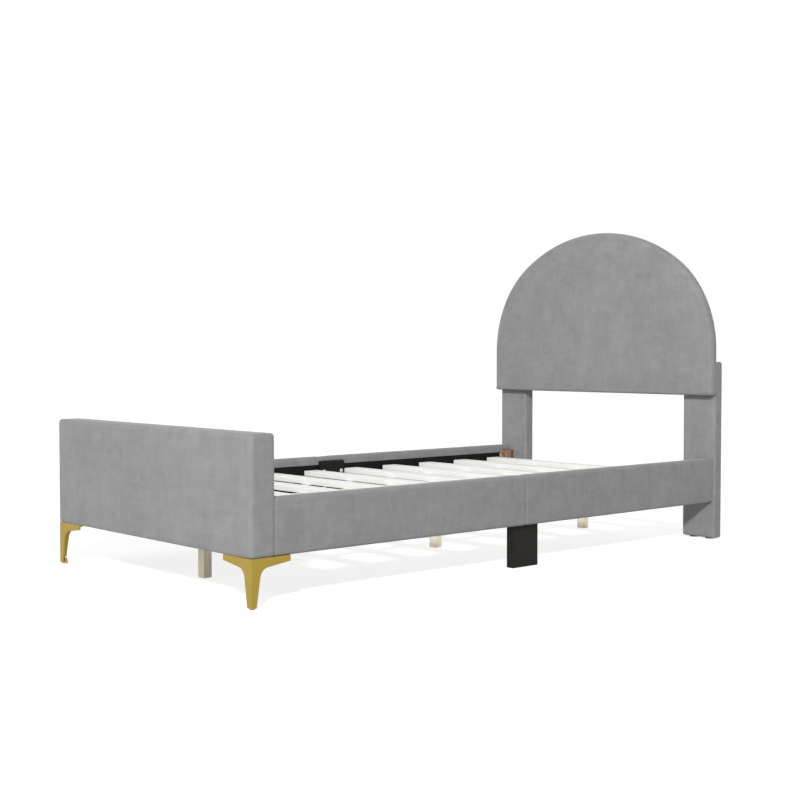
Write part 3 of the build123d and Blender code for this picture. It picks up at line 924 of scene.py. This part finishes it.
def make_rail_lining(side_name, half):
    """Black cloth over the inner face of a half rail, stapled along its lower edge."""
    side = SIDES[side_name]
    node = f"{side_name}_{half}_rail_lining"
    end_margin = 20 * MM
    spacing = 70 * MM
    low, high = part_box(node)
    face = min(abs(low.x), abs(high.x)) + 1.0 * MM
    length = high.y - low.y
    corner = Vector((side * face, low.y, low.z))
    along = Vector((0, length, 0))
    across = Vector((0, 0, high.z - low.z))
    if side > 0:
        corner += along
        along = -along
    piece = lining_strip(f"{node}_cloth", corner, along, across, side * 3.0)
    lay_sheet(piece, lining_cloth, node)
    places = []
    count = round(length / spacing)
    for step in range(count):
        y = low.y + end_margin + (length - 2 * end_margin) * step / (count - 1)
        places.append(((side * (face - 0.1 * MM), y, low.z + 6 * MM), math.pi / 2))
    make_staples(f"{node}_staples", "X", places)


def make_ribbon(side_name):
    """White ribbon stapled under the slats, hanging a little between them."""
    side = SIDES[side_name]
    width = 40 * MM
    slack = 2.5 * MM
    cell = 8 * MM
    low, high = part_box("slat_ribbons")
    slats = [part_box(slat) for slat in SLATS]
    mesh = bmesh.new()
    rows = []
    steps = round((high.y - low.y) / cell)
    for step in range(steps + 1):
        y = low.y + (high.y - low.y) * step / steps
        sag = 0
        for (_, before), (after, _) in zip(slats, slats[1:]):
            if before.y < y < after.y:
                sag = slack * dome(2 * (y - before.y) / (after.y - before.y) - 1, 2)
        row = []
        for share, curl in ((0, 0), (0.5, 0.3), (1, 0)):
            row.append(mesh.verts.new((side * (high.x - width * share), y, high.z - sag - curl * sag)))
        rows.append(row)
    for near, far in zip(rows, rows[1:]):
        for step in range(2):
            mesh.faces.new((near[step], near[step + 1], far[step + 1], far[step]))
    bmesh.ops.recalc_face_normals(mesh, faces=mesh.faces)
    if sum(face.normal.z for face in mesh.faces) < 0:
        bmesh.ops.reverse_faces(mesh, faces=mesh.faces)
    piece = new_piece(f"{side_name}_slat_ribbon", mesh)
    thicken(piece, 1.0 * MM)
    lay_sheet(piece, webbing, "slat_ribbons")
    places = []
    for slat_low, slat_high in slats:
        for share in (0.25, 0.75):
            y = slat_low.y + (slat_high.y - slat_low.y) * share
            places.append(((side * (high.x - width / 2), y, low.z + 0.1 * MM), 0))
    make_staples(f"{side_name}_ribbon_staples", "Z", places)


for side_name in SIDES:
    for half in HALVES:
        make_rail_lining(side_name, half)
for side_name in SIDES:
    make_ribbon(side_name)


# Floor, light and camera
def make_stage():
    """Pale floor that keeps the shadow, and shows white where nothing shades it."""
    bpy.ops.object.select_all(action="DESELECT")
    bpy.ops.mesh.primitive_plane_add(size=60, location=(0, 0, 0))
    floor = bpy.context.active_object
    floor.name = "floor"
    gap_under_feet = 0.2 * MM
    for vertex in floor.data.vertices:
        vertex.co.z -= gap_under_feet
    pale = bpy.data.materials.new("pale_floor")
    nodes = Nodes(pale)
    nodes.tree.nodes.clear()
    diffuse = nodes.node("ShaderNodeBsdfDiffuse", sockets={"Color": (0.5, 0.5, 0.5, 1)})
    glow = nodes.node("ShaderNodeEmission", sockets={"Strength": nodes.seen() * 0.6 + 0.1})
    both = nodes.node("ShaderNodeAddShader", sockets={0: diffuse, 1: glow})
    nodes.node("ShaderNodeOutputMaterial", sockets={"Surface": both})
    finish(floor, pale)


def make_sky(ambient):
    """Even light from all round; white where the camera or a reflection sees it."""
    world = bpy.data.worlds.new("studio")
    bpy.context.scene.world = world
    nodes = Nodes(world)
    nodes.tree.nodes.clear()
    strength = nodes.seen(through=True) * (1 - ambient) + ambient
    background = nodes.node("ShaderNodeBackground", sockets={"Color": (1, 1, 1, 1), "Strength": strength})
    nodes.node("ShaderNodeOutputWorld", sockets={"Surface": background})


def make_key(towards, distance, strength, softness):
    """Round lamp over the right front corner: strength is the light that it gives there."""
    lamp = bpy.data.lights.new("key", "AREA")
    lamp.shape = "DISK"
    lamp.size = 2 * distance * math.tan(math.radians(softness / 2))
    lamp.energy = strength * math.pi * distance**2
    key = bpy.data.objects.new("key", lamp)
    direction = Vector(towards).normalized()
    key.location = Vector((footboard_high.x, footboard_low.y, footboard_high.z)) + direction * distance
    key.rotation_mode = "QUATERNION"
    key.rotation_quaternion = direction.to_track_quat("Z", "Y")
    bpy.context.scene.collection.objects.link(key)


def make_sun(name, towards, strength, softness):
    """Far, wide light that fills in the shadows from one side."""
    lamp = bpy.data.lights.new(name, "SUN")
    lamp.energy = strength
    lamp.angle = math.radians(softness)
    sun = bpy.data.objects.new(name, lamp)
    sun.rotation_mode = "QUATERNION"
    sun.rotation_quaternion = Vector(towards).to_track_quat("Z", "Y")
    bpy.context.scene.collection.objects.link(sun)


def make_camera():
    """The photograph's own view: place, turn, tilt and lens, worked out from the bed's straight edges."""
    lens = bpy.data.cameras.new("camera")
    lens.sensor_width = 36.0
    lens.lens = 60.63
    tilt_down = 2.063
    turn = 48.507
    camera = bpy.data.objects.new("camera", lens)
    camera.location = (3.4694, -3.1181, 0.6905)
    camera.rotation_euler = (math.radians(90 - tilt_down), 0, math.radians(turn))
    bpy.context.scene.collection.objects.link(camera)
    bpy.context.scene.camera = camera


make_stage()
make_sky(0.35)
make_key((0.62, -0.60, 0.47), 10, 3.0, 4)
make_sun("front fill", (-0.3, -0.93, 0.2), 1.25, 80)
make_sun("back fill", (-0.6, 0.7, 0.4), 0.9, 110)
make_camera()
bpy.context.scene.view_settings.view_transform = "Standard"
